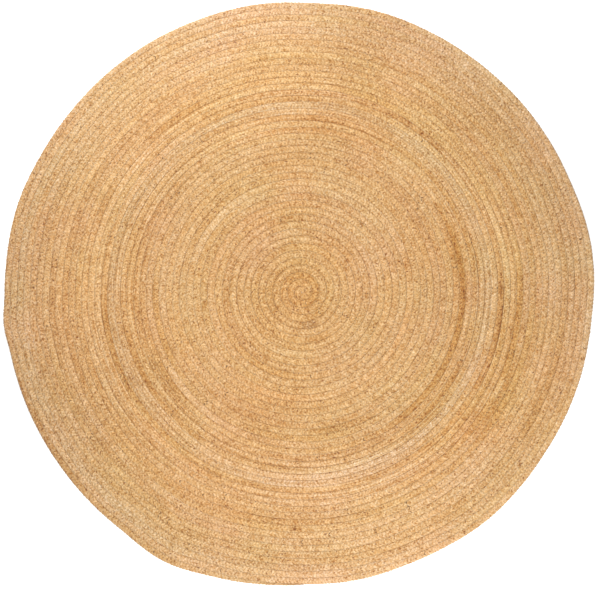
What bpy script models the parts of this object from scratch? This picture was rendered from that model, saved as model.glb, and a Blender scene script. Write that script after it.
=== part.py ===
"""Round rug: one long flat braid of jute, wound into a flat spiral and laced edge to edge.

The wound braid is one continuous piece, so it is built as one flat solid.  Its outline is the
outer edge of the spiral: it grows by one braid width in a full turn, counter-clockwise from
above, and the tail of the braid thins out against the turn before it.  Metres, +Z up, the
underside on z = 0, and the middle of the outline's bounding box on x = y = 0.
"""
import math

import bmesh
import bpy

# Driving dimensions, in metres and degrees
MEAN_RADIUS = 0.750          # of the outer edge, from the middle of the spiral
BRAID_WIDTH = 0.0163         # the edge grows by this much in one turn
THICKNESS = 0.0095           # of the flattened three-strand braid
TAIL_ANGLE = 271.0           # where the braid ends, counter-clockwise from +X
TAIL_TAPER_ANGLE = 25.0      # the last stretch of braid, which thins out
TAIL_END_WIDTH = 0.0035      # what is left of the braid's width at its end
OUTLINE_POINTS = 288

# Uneven places of the edge: direction, how far it stands out or in, and half its width.
EDGE_SWELLS = [
    (8.0, 0.0068, 8.5),      # swell on the right
    (38.0, 0.0010, 8.0),
    (72.0, 0.0030, 9.0),
    (88.0, -0.0028, 4.0),    # shallow dip at the back
    (143.0, -0.0024, 22.0),  # nearly straight stretch on the upper left
    (163.0, 0.0040, 7.0),
    (186.5, 0.0060, 3.2),    # small corner on the left
    (211.0, -0.0026, 22.0),
    (243.0, 0.0090, 5.5),    # swell where the tail starts to thin out
    (281.0, 0.0022, 6.0),
    (310.0, 0.0052, 9.0),
]

# Rim profile from the underside to the top: how far inside the edge, and how high.
RIM_PROFILE = [
    (0.0022, 0.0),
    (0.0004, 0.0018),
    (0.0, 0.0042),
    (0.0008, 0.0068),
    (0.0024, 0.0086),
    (0.0050, THICKNESS),
]

JUTE_COLOUR = (0.72, 0.42, 0.19, 1.0)


def swell(angle, middle, half_width):
    """A rounded bump, 1 at its middle and 0 beyond twice its half width."""
    away = abs((angle - middle + 180.0) % 360.0 - 180.0) / (2.0 * half_width)
    if away >= 1.0:
        return 0.0
    return 0.5 + 0.5 * math.cos(math.pi * away)


def edge_radius(angle):
    """Distance of the outer edge from the middle of the spiral, in one direction."""
    turn = ((angle - TAIL_ANGLE) % 360.0) / 360.0
    radius = MEAN_RADIUS + BRAID_WIDTH * (turn - 0.5)
    taper = 1.0 - (1.0 - turn) * 360.0 / TAIL_TAPER_ANGLE
    if taper > 0.0:
        radius -= (BRAID_WIDTH - TAIL_END_WIDTH) * taper * taper * (3.0 - 2.0 * taper)
    for middle, height, half_width in EDGE_SWELLS:
        radius += height * swell(angle, middle, half_width)
    return radius


def outline():
    """Points of the outer edge, counter-clockwise, with the bounding box centred on 0, 0."""
    angles = [TAIL_ANGLE + 0.05 + 359.9 * i / (OUTLINE_POINTS - 1) for i in range(OUTLINE_POINTS)]
    points = []
    for angle in angles:
        a = math.radians(angle)
        points.append((edge_radius(angle) * math.cos(a), edge_radius(angle) * math.sin(a)))
    mid_x = 0.5 * (min(p[0] for p in points) + max(p[0] for p in points))
    mid_y = 0.5 * (min(p[1] for p in points) + max(p[1] for p in points))
    return points, (mid_x, mid_y)


def build_rug(collection, material):
    points, middle = outline()
    mesh = bmesh.new()
    rings = []
    for inset, height in RIM_PROFILE:
        ring = []
        for x, y in points:
            shrink = 1.0 - inset / math.hypot(x, y)
            ring.append(mesh.verts.new((x * shrink - middle[0], y * shrink - middle[1], height)))
        rings.append(ring)
    count = len(points)
    for lower, upper in zip(rings, rings[1:]):
        for i in range(count):
            j = (i + 1) % count
            mesh.faces.new((lower[i], lower[j], upper[j], upper[i]))
    mesh.faces.new(list(reversed(rings[0])))
    mesh.faces.new(rings[-1])
    bmesh.ops.triangulate(mesh, faces=mesh.faces[:])
    bmesh.ops.recalc_face_normals(mesh, faces=mesh.faces[:])
    data = bpy.data.meshes.new("braided_coil")
    mesh.to_mesh(data)
    mesh.free()
    data.materials.append(material)
    rug = bpy.data.objects.new("braided_coil", data)
    collection.objects.link(rug)
    return rug


def jute_material():
    material = bpy.data.materials.new("jute")
    material.use_nodes = True
    shader = material.node_tree.nodes["Principled BSDF"]
    shader.inputs["Base Color"].default_value = JUTE_COLOUR
    shader.inputs["Roughness"].default_value = 0.9
    return material


for old in list(bpy.data.objects):
    bpy.data.objects.remove(old, do_unlink=True)

rug_collection = bpy.data.collections.new("round_jute_rug")
bpy.context.scene.collection.children.link(rug_collection)
build_rug(rug_collection, jute_material())
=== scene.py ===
"""Round jute rug: the long three-strand braid, wound into its flat spiral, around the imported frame.

The braid is one continuous ribbon whose top and underside carry the relief of its three strands.
It is built in consecutive lengths, each with whole braid grooves at its ends, so that no piece is
too heavy.  Turn 0 starts at the middle of the rug, and the braid ends in a thin tail on the rim.
"""
import math

import bpy
import numpy as np
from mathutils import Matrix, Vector


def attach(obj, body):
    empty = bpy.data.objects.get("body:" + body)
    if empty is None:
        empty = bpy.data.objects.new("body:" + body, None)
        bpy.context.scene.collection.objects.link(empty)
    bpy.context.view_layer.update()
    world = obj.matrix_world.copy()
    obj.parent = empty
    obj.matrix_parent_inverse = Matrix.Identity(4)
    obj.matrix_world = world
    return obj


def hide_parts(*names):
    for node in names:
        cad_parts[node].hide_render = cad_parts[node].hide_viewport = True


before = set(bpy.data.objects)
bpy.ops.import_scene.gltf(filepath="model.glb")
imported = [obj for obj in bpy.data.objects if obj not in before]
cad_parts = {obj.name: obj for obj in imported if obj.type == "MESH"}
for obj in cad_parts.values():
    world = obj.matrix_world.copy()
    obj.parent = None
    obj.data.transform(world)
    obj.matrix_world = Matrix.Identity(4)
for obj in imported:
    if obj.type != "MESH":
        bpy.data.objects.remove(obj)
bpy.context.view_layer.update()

# ---------------------------------------------------------------- sizes, metres and degrees
MEAN_RADIUS = 0.750          # of the rim, from the middle of the spiral
BRAID_WIDTH = 0.0163         # in the outer turns
INNER_BRAID_WIDTH = 0.0185   # in the turns near the middle
THICKNESS = 0.0095
TAIL_ANGLE = 271.0
TAIL_TAPER_ANGLE = 25.0
TAIL_END_WIDTH = 0.0035
TAIL_TIP_ANGLE = 4.0         # over which that last bit is tucked in
TAIL_TIP_WIDTH = 0.0008
STRAND_PERIOD = 0.0264       # length of braid in which a strand comes back to its place
ROWS_PER_PERIOD = 9          # three rows of vertices for each lobe of the herringbone
PIECES = ("first", "second", "third", "fourth", "fifth")
SEED = 11

# Uneven places of the rim: direction, how far it stands out or in, and half its width.
EDGE_SWELLS = [
    (8.0, 0.0068, 8.5),
    (38.0, 0.0010, 8.0),
    (72.0, 0.0030, 9.0),
    (88.0, -0.0028, 4.0),
    (143.0, -0.0024, 22.0),
    (163.0, 0.0040, 7.0),
    (186.5, 0.0060, 3.2),
    (211.0, -0.0026, 22.0),
    (243.0, 0.0090, 5.5),
    (281.0, 0.0022, 6.0),
    (310.0, 0.0052, 9.0),
]

rng = np.random.default_rng(SEED)


# ---------------------------------------------------------------- smooth random numbers
def noise_line(position, spacing, extent):
    """Smooth noise along a line, about -1 to 1, with one random value every spacing metres."""
    count = int(extent / spacing) + 4
    values = rng.uniform(-1.0, 1.0, count)
    at = np.clip(position / spacing, 0.0, count - 2.001)
    cell = at.astype(int)
    part = at - cell
    part = part * part * (3.0 - 2.0 * part)
    return values[cell] * (1.0 - part) + values[cell + 1] * part


def noise_plane(x, y, spacing):
    """Smooth noise over the floor plan of the rug, about -1 to 1."""
    size = int(2.0 / spacing) + 4
    values = rng.uniform(-1.0, 1.0, (size, size))
    u = (x + 1.0) / spacing
    v = (y + 1.0) / spacing
    i = u.astype(int)
    j = v.astype(int)
    fu = u - i
    fv = v - j
    fu = fu * fu * (3.0 - 2.0 * fu)
    fv = fv * fv * (3.0 - 2.0 * fv)
    low = values[i, j] * (1.0 - fu) + values[i + 1, j] * fu
    high = values[i, j + 1] * (1.0 - fu) + values[i + 1, j + 1] * fu
    return low * (1.0 - fv) + high * fv


def smooth(value):
    value = np.clip(value, 0.0, 1.0)
    return value * value * (3.0 - 2.0 * value)


# ---------------------------------------------------------------- the spiral
def braid_width(radius):
    """The braid is a little wider in the turns near the middle."""
    return INNER_BRAID_WIDTH + (BRAID_WIDTH - INNER_BRAID_WIDTH) * smooth((radius - 0.22) / 0.18)


def edge_swell(angle):
    """How far the rim stands out or in at each direction."""
    total = np.zeros_like(angle)
    for middle, height, half_width in EDGE_SWELLS:
        away = np.abs((angle - middle + 180.0) % 360.0 - 180.0) / (2.0 * half_width)
        total += height * np.where(away < 1.0, 0.5 + 0.5 * np.cos(np.pi * np.minimum(away, 1.0)), 0.0)
    return total


STEPS_PER_TURN = 720
END_EDGE = MEAN_RADIUS + 0.5 * BRAID_WIDTH
START_EDGE = 0.0012          # of the outer edge where the winding starts

edges = [END_EDGE]
while edges[-1] > START_EDGE:
    edges.append(edges[-1] - float(braid_width(np.array(edges[-1]))) / STEPS_PER_TURN)
OUTER_EDGE = np.array(edges[::-1])
TURN = np.arange(len(OUTER_EDGE)) / STEPS_PER_TURN
TURNS = TURN[-1]
START_ANGLE = math.radians(TAIL_ANGLE) - 2.0 * math.pi * TURNS
INNER_EDGE = np.interp(TURN - 1.0, TURN, OUTER_EDGE, left=0.5 * START_EDGE)
# The tail thins out against the turn before it.
taper = smooth(1.0 - (TURNS - TURN) * 360.0 / TAIL_TAPER_ANGLE)
OUTER_EDGE = OUTER_EDGE - (BRAID_WIDTH - TAIL_END_WIDTH) * taper
last_bit = smooth(1.0 - (TURNS - TURN) * 360.0 / TAIL_TIP_ANGLE)
OUTER_EDGE = OUTER_EDGE - (TAIL_END_WIDTH - TAIL_TIP_WIDTH) * last_bit
MIDDLE_LINE = 0.5 * (INNER_EDGE + OUTER_EDGE)
step_radii = 0.5 * (MIDDLE_LINE[1:] + MIDDLE_LINE[:-1])
LENGTH = np.concatenate([[0.0], np.cumsum(2.0 * np.pi * step_radii)]) / STEPS_PER_TURN
BRAID_LENGTH = LENGTH[-1]

# Hand braiding: the lobes are a little longer in some places than in others.
stretch = 1.0 + 0.06 * noise_line(LENGTH, 0.35, BRAID_LENGTH)
stretch += 0.10 * noise_line(LENGTH, 0.05, BRAID_LENGTH)
PHASE = np.concatenate([[0.0], np.cumsum(np.diff(LENGTH) / stretch[1:])]) * 2.0 * np.pi / STRAND_PERIOD

# ---------------------------------------------------------------- the braid's cross-section
STRAND_SWING = 0.52          # side to side, in half widths of the braid
STRAND_HALF_WIDTH = 0.50
STRAND_RISE = 0.0018
STRAND_HALF_HEIGHT = 0.0031
MIDDLE_HEIGHT = 0.5 * THICKNESS
LEAST_HEIGHT = 0.0003
SEAM_HEIGHT = 0.0028         # above the middle of the braid
RIM_SEAM_EXTRA = 0.0004      # seams are shallower in the outer turns
SCALLOP = 0.0003             # of a seam, from lobe to lobe
GROOVE_DEPTH = 0.0004        # added between lobes on top
UNDERSIDE_FULLNESS = 1.05    # reaches the floor
START_RADIUS = 0.006         # inside this, the winding has no seams
START_HEIGHT = 0.0036
OVERLAP = 0.00015            # of each turn on the one inside it, so that no gap shows between them
ONE_LOBE = 2.0 * np.pi / 3.0
STRAND_LEAN = math.radians(42.0)

TOP_COLUMNS = (-1.0, -0.80, -0.54, -0.27, 0.0, 0.27, 0.54, 0.80, 1.0)
UNDER_COLUMNS = (0.55, 0.0, -0.55)


def strand_surface(phase, across, side):
    """Height of the outermost strand above (side 1) or below (side -1) the braid's middle.

    Also gives which of the three strands it is.  Each strand swings from side to side while it
    rises and dips twice, which is the path of a flat three-strand braid.
    """
    best = np.full(np.broadcast(phase, across).shape, -1.0)
    which = np.zeros(best.shape, int)
    for k in range(3):
        t = phase + 2.0 * np.pi * k / 3.0
        slope = STRAND_SWING * 0.5 * BRAID_WIDTH * 2.0 * np.pi / STRAND_PERIOD * np.cos(t)
        half_width = STRAND_HALF_WIDTH * np.sqrt(1.0 + slope * slope)
        inside = 1.0 - ((across - STRAND_SWING * np.sin(t)) / half_width) ** 2
        height = side * STRAND_RISE * np.sin(2.0 * t)
        height = height + STRAND_HALF_HEIGHT * np.sqrt(np.maximum(inside, 0.0))
        height = np.where(inside > 0.0, height, -1.0)
        which = np.where(height > best, k, which)
        best = np.maximum(best, height)
    return np.maximum(best, LEAST_HEIGHT), which


def groove_phase(across, side, near):
    """Phase of the groove between two lobes at this distance from the middle, nearest to near."""
    phase = np.linspace(0.0, ONE_LOBE, 600, endpoint=False)
    value = phase[np.argmin(strand_surface(phase, across, side)[0])]
    return value + ONE_LOBE * round((near - value) / ONE_LOBE)


def column_skews():
    """Shift of each column of vertices along the braid that keeps its rows in the grooves."""
    top = {}
    near = 0.0
    for across in (0.27, 0.54, 0.80):
        near = groove_phase(across, 1, near)
        top[across] = near
    top[1.0] = near + 0.3
    half_lobe = 0.5 * ONE_LOBE
    skews = []
    for across in TOP_COLUMNS:
        if across == 0.0:
            skews.append(top[0.27] + 0.5 * half_lobe)
        else:
            skews.append(top[abs(across)] + (half_lobe if across < 0.0 else 0.0))
    right = groove_phase(0.55, -1, top[1.0] + 0.6)
    left = groove_phase(-0.55, -1, top[1.0] + half_lobe + 0.6)
    skews += [right, 0.5 * (right + left) + 0.3, left]
    return np.array(skews) - top[0.27]


COLUMNS = np.array(TOP_COLUMNS + UNDER_COLUMNS)
SIDES = np.array([1] * len(TOP_COLUMNS) + [-1] * len(UNDER_COLUMNS))
SKEWS = column_skews()

# ---------------------------------------------------------------- every vertex of the braid
row_phase = np.arange(0.0, PHASE[-1], 2.0 * np.pi / ROWS_PER_PERIOD)
ROWS = len(row_phase)
row_number = np.arange(ROWS)
square_ends = smooth(row_number / 14.0) * smooth((ROWS - 1 - row_number) / 14.0)
phase = np.clip(row_phase[:, None] + SKEWS[None, :] * square_ends[:, None], 0.0, PHASE[-1])
across = np.broadcast_to(COLUMNS, phase.shape)
turn = np.interp(phase, PHASE, TURN)
along = np.interp(phase, PHASE, LENGTH)
inner = np.interp(turn, TURN, INNER_EDGE)
outer = np.interp(turn, TURN, OUTER_EDGE)
width = outer - inner
angle = START_ANGLE + 2.0 * np.pi * turn
radius = inner + 0.5 * (across + 1.0) * width - np.where(across == -1.0, OVERLAP, 0.0)

relief = np.empty_like(phase)
strand = np.empty(phase.shape, int)
for side in (1, -1):
    cols = np.nonzero(SIDES == side)[0]
    relief[:, cols], strand[:, cols] = strand_surface(phase[:, cols], across[:, cols], side)
strand_phase = phase + 2.0 * np.pi * strand / 3.0
lobe = np.floor(strand_phase / np.pi).astype(int)
lobe_size = rng.normal(0.0, 1.0, (3, lobe.max() + 1))
lobe_shade = rng.normal(0.0, 1.0, (3, lobe.max() + 1))

# Lobes differ in size, and the braid is thinner where it is narrow.
slimness = np.clip(width / BRAID_WIDTH, 0.0, 1.0) ** 0.6
height = relief * (1.0 + 0.045 * lobe_size[strand, lobe]) * slimness
height *= 1.0 + 0.04 * noise_line(along, 0.6, BRAID_LENGTH)
# Neighbouring turns are laced tight against each other, so the seam between them is shallow and
# scalloped.  Only the rim itself is rounded right down to the middle of the braid.
on_edge = np.abs(COLUMNS) == 1.0
in_groove = (row_number % 3 == 0)[:, None]
seam_turn = turn + np.where(across < 0.0, -1.0, 0.0)
seam_along = np.interp(seam_turn, TURN, LENGTH)
tightness = 0.6 * noise_line(seam_along, 0.20, BRAID_LENGTH)
tightness = tightness + 0.6 * noise_line(seam_along, 0.06, BRAID_LENGTH)
scallops = np.sin(3.0 * np.interp(seam_turn, TURN, PHASE))
seam = SEAM_HEIGHT * (1.0 + 0.30 * tightness) + SCALLOP * scallops
seam += RIM_SEAM_EXTRA * smooth((radius - 0.55) / 0.05)
at_rim = np.where(COLUMNS[None, :] == 1.0, smooth((turn - (TURNS - 1.0)) * 20.0 + 0.5), 0.0)
height = np.where(on_edge[None, :], seam * (1.0 - at_rim), height)
height -= np.where(in_groove & (SIDES == 1)[None, :] & ~on_edge[None, :], GROOVE_DEPTH, 0.0)
height = np.where(radius < START_RADIUS, np.maximum(height, START_HEIGHT), height)
z = MIDDLE_HEIGHT + np.where(SIDES[None, :] == 1, height, -UNDERSIDE_FULLNESS * height)
z = np.maximum(z, 0.0)

# The rim itself is scalloped by the lobes, as uneven as they are.
radius = radius + at_rim * (0.0005 * scallops + 0.0003 * rng.normal(0.0, 1.0, phase.shape))

# The turns wander a little, and follow the uneven rim more the nearer they are to it.
x = radius * np.cos(angle)
y = radius * np.sin(angle)
outwards = edge_swell(np.degrees(angle)) * np.clip((radius - 0.30) / 0.45, 0.0, 1.0) ** 2
wander = np.clip(radius / 0.2, 0.0, 1.0)
outwards += 0.0007 * noise_plane(x, y, 0.16) * wander + 0.0004 * noise_plane(x, y, 0.06) * wander
off_centre = np.minimum(1.0, 1.6 * np.clip(1.0 - radius / MEAN_RADIUS, 0.0, 1.0))
x = x + outwards * np.cos(angle) + 0.0040 * off_centre
y = y + outwards * np.sin(angle) - 0.0017 * off_centre
z = z + 0.0003 * noise_plane(x, y, 0.20) * (SIDES[None, :] == 1)

rim = slice(np.searchsorted(turn[:, 0], TURNS - 1.0), ROWS)
middle_x = 0.5 * (x[rim].min() + x[rim].max())
middle_y = 0.5 * (y[rim].min() + y[rim].max())
x -= middle_x
y -= middle_y

# ---------------------------------------------------------------- colour of every vertex
JUTE = np.array((0.510, 0.302, 0.1285))
DEPTH_OF_COLOUR = np.array((0.60, 1.00, 1.75))    # darker fibre is also richer in colour
# painted shade in the grooves between the lobes of the herringbone
GROOVE_SHADE = 0.80
SPECK_SHARE = 0.0014         # of the vertices, besides the specks listed below
SPECK_HALF_WIDTH = 0.0030

# Lengths of braid that stand out: how many turns in from the rim, from which direction to which
# (counter-clockwise), how much lighter or darker, and how much richer or greyer.
STREAKS = [
    (0, 178, 222, -0.10, -0.2), (4, 208, 235, -0.10, 0.0), (7, 172, 196, -0.15, 0.1),
    (7, 206, 238, -0.12, 0.0), (9, 18, 32, -0.13, 0.1), (10, 322, 340, -0.18, 0.3),
    (10, 60, 70, 0.13, 0.0), (10, 215, 240, -0.03, 0.4), (11, 296, 330, -0.05, 0.5),
    (11, 336, 6, -0.22, 0.5), (12, 118, 134, -0.13, 0.5), (12, 149, 160, -0.16, 0.2),
    (13, 136, 168, 0.13, 0.1), (14, 306, 334, -0.10, 0.4), (14, 332, 4, -0.27, 0.2),
    (14, 45, 64, -0.12, 0.2), (15, 84, 97, -0.14, 0.0), (15, 182, 214, -0.16, 0.1),
    (16, 272, 130, 0.06, -0.8), (16, 130, 268, 0.03, -0.4), (17, 272, 306, 0.12, -0.3),
    (17, 306, 268, 0.06, -0.3),
    (18, 192, 218, -0.14, 0.3), (19, 108, 152, 0.10, 0.0), (20, 306, 338, -0.16, 0.4),
    (20, 338, 22, -0.24, 0.6), (20, 22, 34, -0.14, 0.2), (20, 180, 226, -0.12, 0.1),
    (21, 206, 224, -0.16, 0.2), (21, 345, 18, -0.06, 0.4), (22, 208, 224, 0.12, 0.0),
    (23, 272, 300, -0.16, 0.3), (23, 178, 208, -0.12, 0.2), (24, 256, 271, -0.20, 0.2),
    (26, 146, 168, 0.11, 0.0), (28, 120, 164, 0.11, -0.3), (28, 20, 118, 0.05, -0.2),
    (28, 6, 18, -0.14, 0.1),
    (30, 56, 92, -0.08, 0.2), (33, 100, 114, -0.15, 0.1), (33, 176, 192, -0.10, 0.3),
    (35, 30, 92, -0.11, 0.2), (36, 288, 304, -0.12, 0.1), (36, 24, 34, -0.13, -0.1),
    (38, 272, 296, -0.22, -1.2), (39, 252, 271, -0.16, -1.1), (41, 272, 100, -0.05, 0.2),
    (41, 100, 150, -0.08, 0.2), (41, 242, 271, -0.14, 0.1),
]

# Broad uneven places: from and to which distance from the middle, from which direction to which
# (all round where these are the same), how much lighter or darker, how much richer or greyer.
# Most are the rug's own tone, but two of them are painted sheen and painted shade.
PATCHES = [
    (0.700, 0.790, 0.0, 0.0, 0.05, -0.9), (0.715, 0.780, 335.0, 75.0, 0.05, 0.2),
    (0.620, 0.700, 240.0, 165.0, 0.00, -0.5), (0.650, 0.720, 320.0, 45.0, -0.04, 0.3),
    # These two are painted light from the soft boxes on the fibres: a painted highlight from 80 to 165
    # degrees and painted shade from 165 to 245 degrees.
    (0.380, 0.760, 80.0, 165.0, 0.045, 0.0), (0.380, 0.760, 165.0, 245.0, -0.03, 0.0),
    (0.330, 0.620, 255.0, 325.0, 0.00, -0.3), (0.070, 0.150, 260.0, 350.0, -0.05, 0.1),
    (0.590, 0.640, 50.0, 95.0, -0.05, 0.0), (0.000, 0.080, 0.0, 0.0, 0.00, 0.4),
]

# Dark bits of bark that stand out: distance and direction from the middle, length, how dark.
SPECKS = [
    (0.603, 268.5, 0.009, 1.00), (0.604, 269.2, 0.020, 0.35), (0.138, 34.5, 0.006, 0.90),
    (0.246, 33.7, 0.006, 0.60), (0.510, 52.7, 0.008, 0.80), (0.187, 335.0, 0.007, 0.55),
    (0.239, 249.0, 0.007, 0.55), (0.330, 200.0, 0.008, 0.40), (0.420, 128.0, 0.009, 0.40),
]


def streak_window(turns_in, start, end):
    """1 on a length of the braid and 0 away from it, with soft ends."""
    first = TURNS - turns_in - 1.0 + ((start - TAIL_ANGLE) % 360.0) / 360.0
    last = TURNS - turns_in - 1.0 + ((end - TAIL_ANGLE) % 360.0) / 360.0
    soft = 5.0 / 360.0
    return smooth((turn - first) / soft + 0.5) * smooth((last - turn) / soft + 0.5)


strand_tone = np.zeros(phase.shape)
for k in range(3):
    tone = 0.5 * noise_line(along, 0.9, BRAID_LENGTH) + 0.5 * noise_line(along, 0.16, BRAID_LENGTH)
    strand_tone = np.where(strand == k, tone, strand_tone)
braid_tone = 0.5 * noise_line(along, 1.7, BRAID_LENGTH) + 0.5 * noise_line(along, 0.35, BRAID_LENGTH)
warmth = 0.6 * noise_line(along, 1.3, BRAID_LENGTH) + 0.5 * noise_plane(x, y, 0.11)
dullness = noise_plane(x, y, 0.24)
lengthwise = np.stack([noise_line(along[:, c], 0.045, BRAID_LENGTH) for c in range(len(COLUMNS))], 1)
evenness = 0.40 + 0.60 * smooth((radius - 0.05) / 0.35)
lightness = 1.0 + 0.12 * braid_tone * evenness + 0.02 * strand_tone
lightness += 0.06 * lobe_shade[strand, lobe]
lightness -= 0.11 * smooth((0.14 - radius) / 0.11) - 0.10 * smooth((0.028 - radius) / 0.02)
lightness -= 0.03 * smooth((radius - 0.60) / 0.10)
lightness += 0.05 * noise_plane(x, y, 0.13) + 0.04 * noise_plane(x, y, 0.30)
grain = rng.normal(0.0, 1.0, phase.shape)
# Dark specks of grain stand out more than light ones.
lightness += 0.245 * (grain - 0.16 * (grain ** 2 - 1.0)) + 0.08 * lengthwise
richness = warmth - 0.5 * dullness + 0.5 * noise_line(along, 0.22, BRAID_LENGTH)
richness += 0.5 - 1.3 * smooth((np.hypot(x, y) - 0.55) / 0.17)
for turns_in, start, end, lighter, richer in STREAKS:
    window = streak_window(turns_in, start, end)
    lightness += lighter * window
    richness += 2.0 * richer * window
for low, high, start, end, lighter, richer in PATCHES:
    within = smooth((radius - low) / 0.03 + 0.5) * smooth((high - radius) / 0.03 + 0.5)
    turned = (np.degrees(angle) - start) % 360.0
    reach = (end - start) % 360.0
    if reach > 0.0:
        within *= smooth(np.minimum(turned, 360.0) / 16.0) * smooth((reach - turned) / 16.0)
    lightness += lighter * within
    richness += richer * within
for distance, direction, long_side, darker in SPECKS:
    away_along = (angle - math.radians(direction) + math.pi) % (2.0 * math.pi) - math.pi
    spread = (away_along * radius / (0.5 * long_side)) ** 2 + ((radius - distance) / SPECK_HALF_WIDTH) ** 2
    lightness -= darker * np.exp(-spread)
speck_here = rng.random(phase.shape) < SPECK_SHARE
lightness -= np.where(speck_here, rng.uniform(0.3, 0.8, phase.shape), 0.0)
pink = noise_plane(x, y, 0.09) + 0.6 * noise_line(along, 0.5, BRAID_LENGTH)
# Thin darker and lighter lines that run a long way along the braid, plainest halfway out.
long_lines = np.stack([noise_line(along[:, c], 0.16, BRAID_LENGTH) for c in range(len(COLUMNS))], 1)
inner_turns = smooth((0.26 - radius) / 0.06)
line_strength = 0.06 + 0.04 * inner_turns
line_strength += 0.20 * smooth((radius - 0.38) / 0.05) * smooth((0.58 - radius) / 0.05)
lightness += line_strength * long_lines
plain_columns = on_edge | (COLUMNS == 0.0)
# Painted shade: the rows in the grooves between lobes are darker, except on the seams and the middle
# column.
lightness *= np.where(in_groove & ~plain_columns[None, :], GROOVE_SHADE, 1.0)
# Painted shade along the seams between turns: darker where the seam lies deeper, lighter where it is
# shallower.
lightness[:, on_edge] *= 0.97 + 0.18 * tightness[:, on_edge]
# Painted shade: the middle groove of the braid is darker except in the inner turns, and the low columns
# beside the seams are a little darker in the inner turns.
lightness *= np.where(COLUMNS[None, :] == 0.0, 0.93 + 0.09 * inner_turns, 1.0)
lightness *= np.where(np.abs(COLUMNS)[None, :] == 0.80, 1.0 - 0.02 * inner_turns, 1.0)
lightness = np.clip(lightness, 0.10, 1.7)
tint = JUTE * lightness[..., None] ** DEPTH_OF_COLOUR
tint[..., 0] *= 1.0 + 0.008 * richness + 0.012 * pink
tint[..., 1] *= 1.0 - 0.020 * richness - 0.016 * pink
tint[..., 2] *= 1.0 - 0.095 * richness + 0.012 * pink
tint = np.clip(tint, 0.01, 0.95)

# Where the fibres run: along each strand, which leans outwards on top and inwards underneath.
sideways = 0.5 * width * np.abs(across) * SIDES[None, :]
fibre_along = along * math.cos(STRAND_LEAN) + sideways * math.sin(STRAND_LEAN)
fibre_across = sideways * math.cos(STRAND_LEAN) - along * math.sin(STRAND_LEAN)


# ---------------------------------------------------------------- material
def jute_material():
    material = bpy.data.materials.new("braided_jute")
    material.use_nodes = True
    nodes = material.node_tree.nodes
    links = material.node_tree.links
    shader = nodes["Principled BSDF"]
    shader.inputs["Sheen Weight"].default_value = 0.12
    shader.inputs["Sheen Roughness"].default_value = 0.6
    shader.inputs["Specular IOR Level"].default_value = 0.25

    colour = nodes.new("ShaderNodeAttribute")
    colour.attribute_name = "tint"
    fibre = nodes.new("ShaderNodeAttribute")
    fibre.attribute_name = "fibre"

    def along_fibres(length, breadth):
        scaled = nodes.new("ShaderNodeVectorMath")
        scaled.operation = "MULTIPLY"
        scaled.inputs[1].default_value = (1.0 / length, 1.0 / breadth, 1.0)
        links.new(fibre.outputs["Vector"], scaled.inputs[0])
        return scaled.outputs["Vector"]

    def streaks(length, breadth, detail):
        noise = nodes.new("ShaderNodeTexNoise")
        noise.noise_dimensions = "3D"
        noise.inputs["Scale"].default_value = 1.0
        noise.inputs["Detail"].default_value = detail
        noise.inputs["Roughness"].default_value = 0.55
        links.new(along_fibres(length, breadth), noise.inputs["Vector"])
        return noise.outputs["Fac"]

    def mapped(value, low, high, to_low, to_high):
        node = nodes.new("ShaderNodeMapRange")
        node.inputs["From Min"].default_value = low
        node.inputs["From Max"].default_value = high
        node.inputs["To Min"].default_value = to_low
        node.inputs["To Max"].default_value = to_high
        links.new(value, node.inputs["Value"])
        return node.outputs["Result"]

    def multiply(a, b):
        node = nodes.new("ShaderNodeVectorMath")
        node.operation = "MULTIPLY"
        links.new(a, node.inputs[0])
        links.new(b, node.inputs[1])
        return node.outputs["Vector"]

    coarse = streaks(0.011, 0.0020, 2.0)
    fine = streaks(0.016, 0.0006, 3.0)
    tufts = streaks(0.0048, 0.0026, 1.0)
    shade = multiply(mapped(coarse, 0.3, 0.7, 0.84, 1.16), mapped(fine, 0.3, 0.7, 0.86, 1.14))
    shade = multiply(shade, mapped(tufts, 0.3, 0.7, 0.80, 1.20))
    yarn = multiply(colour.outputs["Color"], shade)

    # Bits of bark: sparse, dark, drawn out along the fibres.
    cells = nodes.new("ShaderNodeTexVoronoi")
    cells.inputs["Scale"].default_value = 1.0
    links.new(along_fibres(0.010, 0.0045), cells.inputs["Vector"])
    split = nodes.new("ShaderNodeSeparateColor")
    links.new(cells.outputs["Color"], split.inputs["Color"])
    chosen = mapped(split.outputs["Red"], 0.985, 0.99, 0.0, 1.0)
    near = mapped(cells.outputs["Distance"], 0.22, 0.38, 1.0, 0.0)
    bark = nodes.new("ShaderNodeMath")
    bark.operation = "MULTIPLY"
    links.new(chosen, bark.inputs[0])
    links.new(near, bark.inputs[1])
    mixed = nodes.new("ShaderNodeMix")
    mixed.data_type = "RGBA"
    links.new(bark.outputs["Value"], mixed.inputs["Factor"])
    links.new(yarn, mixed.inputs["A"])
    mixed.inputs["B"].default_value = (0.16, 0.085, 0.035, 1.0)
    links.new(mixed.outputs["Result"], shader.inputs["Base Color"])

    links.new(mapped(coarse, 0.3, 0.7, 0.94, 0.80), shader.inputs["Roughness"])
    bump = nodes.new("ShaderNodeBump")
    bump.inputs["Strength"].default_value = 0.6
    bump.inputs["Distance"].default_value = 0.0004
    links.new(fine, bump.inputs["Height"])
    links.new(bump.outputs["Normal"], shader.inputs["Normal"])
    return material


# ---------------------------------------------------------------- the pieces
def tube_faces(rows, columns):
    """Triangles of the ribbon between its rows, then of the two ends, all facing outwards."""
    i = np.arange(rows - 1)[:, None] * columns
    j = np.arange(columns)[None, :]
    k = (j + 1) % columns
    a = i + j
    b = i + k
    c = i + columns + k
    d = i + columns + j
    one = np.stack([a, b, c], -1).reshape(-1, 3)
    two = np.stack([a, c, d], -1).reshape(-1, 3)
    last = (rows - 1) * columns
    start_middle = rows * columns
    end_middle = start_middle + 1
    ring = np.arange(columns)
    following = (ring + 1) % columns
    start = np.stack([np.full(columns, start_middle), following, ring], -1)
    end = np.stack([np.full(columns, end_middle), last + ring, last + following], -1)
    return np.concatenate([one, two, start, end]), 2 * columns


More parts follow.
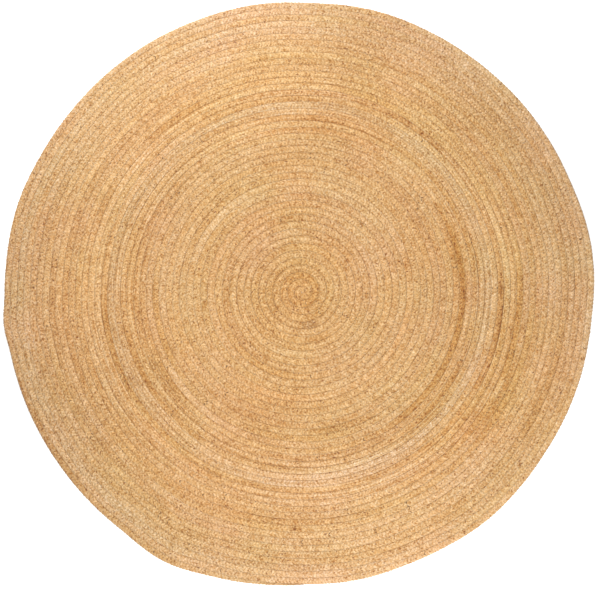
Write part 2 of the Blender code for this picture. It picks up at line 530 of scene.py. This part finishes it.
def braid_piece(name, first, last, material):
    """One length of the braid, from row first to row last, as a closed mesh."""
    part = slice(first, last + 1)
    columns = len(COLUMNS)
    points = np.stack([x[part], y[part], z[part]], -1).reshape(-1, 3)
    colours = tint[part].reshape(-1, 3)
    fibres = np.stack([fibre_along[part], fibre_across[part], np.zeros_like(x[part])], -1).reshape(-1, 3)
    ends = []
    for values in (points, colours, fibres):
        ends.append(np.concatenate([values, [values[:columns].mean(0)], [values[-columns:].mean(0)]]))
    points, colours, fibres = ends
    faces, cap_faces = tube_faces(last - first + 1, columns)

    mesh = bpy.data.meshes.new(name)
    mesh.vertices.add(len(points))
    mesh.vertices.foreach_set("co", points.ravel())
    mesh.loops.add(faces.size)
    mesh.loops.foreach_set("vertex_index", faces.ravel())
    mesh.polygons.add(len(faces))
    mesh.polygons.foreach_set("loop_start", np.arange(0, faces.size, 3))
    mesh.polygons.foreach_set("loop_total", np.full(len(faces), 3))
    flat = np.zeros(len(faces), bool)
    flat[-cap_faces:] = True
    mesh.update(calc_edges=True)
    mesh.polygons.foreach_set("use_smooth", ~flat)
    shown = mesh.attributes.new("tint", "FLOAT_COLOR", "POINT")
    opaque = np.ones((len(colours), 1))
    shown.data.foreach_set("color", np.concatenate([colours, opaque], 1).ravel())
    run = mesh.attributes.new("fibre", "FLOAT_VECTOR", "POINT")
    run.data.foreach_set("vector", fibres.ravel())
    mesh.materials.append(material)
    mesh.update()
    piece = bpy.data.objects.new(name, mesh)
    bpy.context.scene.collection.objects.link(piece)
    return piece


material = jute_material()
bounds = np.linspace(0, ROWS - 1, len(PIECES) + 1)
cuts = [int(3 * round(b / 3)) for b in bounds]
cuts[-1] = ROWS - 1
for number, (name, first, last) in enumerate(zip(PIECES, cuts[:-1], cuts[1:])):
    piece = braid_piece(name + "_length_of_braid", first, last, material)
    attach(piece, "root")
    if number == 0:
        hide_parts("braided_coil")
    part = slice(first, last + 1)

# ---------------------------------------------------------------- floor, light and camera
FLOOR_REACH = 40.0
corners = [(-1, -1), (1, -1), (1, 1), (-1, 1)]
floor_mesh = bpy.data.meshes.new("floor")
floor_mesh.from_pydata([(FLOOR_REACH * u, FLOOR_REACH * v, 0.0) for u, v in corners], [], [(0, 1, 2, 3)])
floor = bpy.data.objects.new("floor", floor_mesh)
bpy.context.scene.collection.objects.link(floor)
floor_material = bpy.data.materials.new("pale_floor")
floor_material.use_nodes = True
floor_shader = floor_material.node_tree.nodes["Principled BSDF"]
floor_shader.inputs["Base Color"].default_value = (0.90, 0.90, 0.90, 1.0)
floor_shader.inputs["Roughness"].default_value = 0.9
floor_shader.inputs["Emission Color"].default_value = (1.0, 1.0, 1.0, 1.0)
floor_shader.inputs["Emission Strength"].default_value = 0.28     # lit from below, like a light table
floor_mesh.materials.append(floor_material)


def soft_light(name, direction, distance, height, size, power):
    """A round soft box beside the rug, facing its middle."""
    data = bpy.data.lights.new(name, "AREA")
    data.shape = "DISK"
    data.size = size
    data.energy = power
    lamp = bpy.data.objects.new(name, data)
    turned = math.radians(direction)
    place = Vector((distance * math.cos(turned), distance * math.sin(turned), height))
    lamp.location = place
    lamp.rotation_euler = place.to_track_quat("Z", "Y").to_euler()
    bpy.context.scene.collection.objects.link(lamp)


soft_light("back_light", 108.0, 1.70, 1.25, 0.9, 36.0)
soft_light("front_light", 286.0, 1.70, 1.25, 0.9, 34.0)
soft_light("side_light", 160.0, 2.6, 2.2, 1.4, 10.0)

world = bpy.data.worlds.new("studio")
world.use_nodes = True
world.node_tree.nodes["Background"].inputs["Color"].default_value = (1.0, 1.0, 1.0, 1.0)
world.node_tree.nodes["Background"].inputs["Strength"].default_value = 0.60
bpy.context.scene.world = world
bpy.context.scene.view_settings.view_transform = "Standard"

CAMERA_HEIGHT_ANGLE = math.radians(85.0)
CAMERA_DISTANCE = 5.06
AIM_BELOW_SPIRAL_MIDDLE = 0.0128
aim = Vector((-middle_x, -middle_y - AIM_BELOW_SPIRAL_MIDDLE, 0.0))
camera_data = bpy.data.cameras.new("camera")
camera_data.sensor_width = 36.0
camera_data.lens = 119.0
camera = bpy.data.objects.new("camera", camera_data)
towards = Vector((0.0, -math.cos(CAMERA_HEIGHT_ANGLE), math.sin(CAMERA_HEIGHT_ANGLE)))
camera.location = aim + CAMERA_DISTANCE * towards
camera.rotation_euler = (math.pi / 2.0 - CAMERA_HEIGHT_ANGLE, 0.0, 0.0)
bpy.context.scene.collection.objects.link(camera)
bpy.context.scene.camera = camera
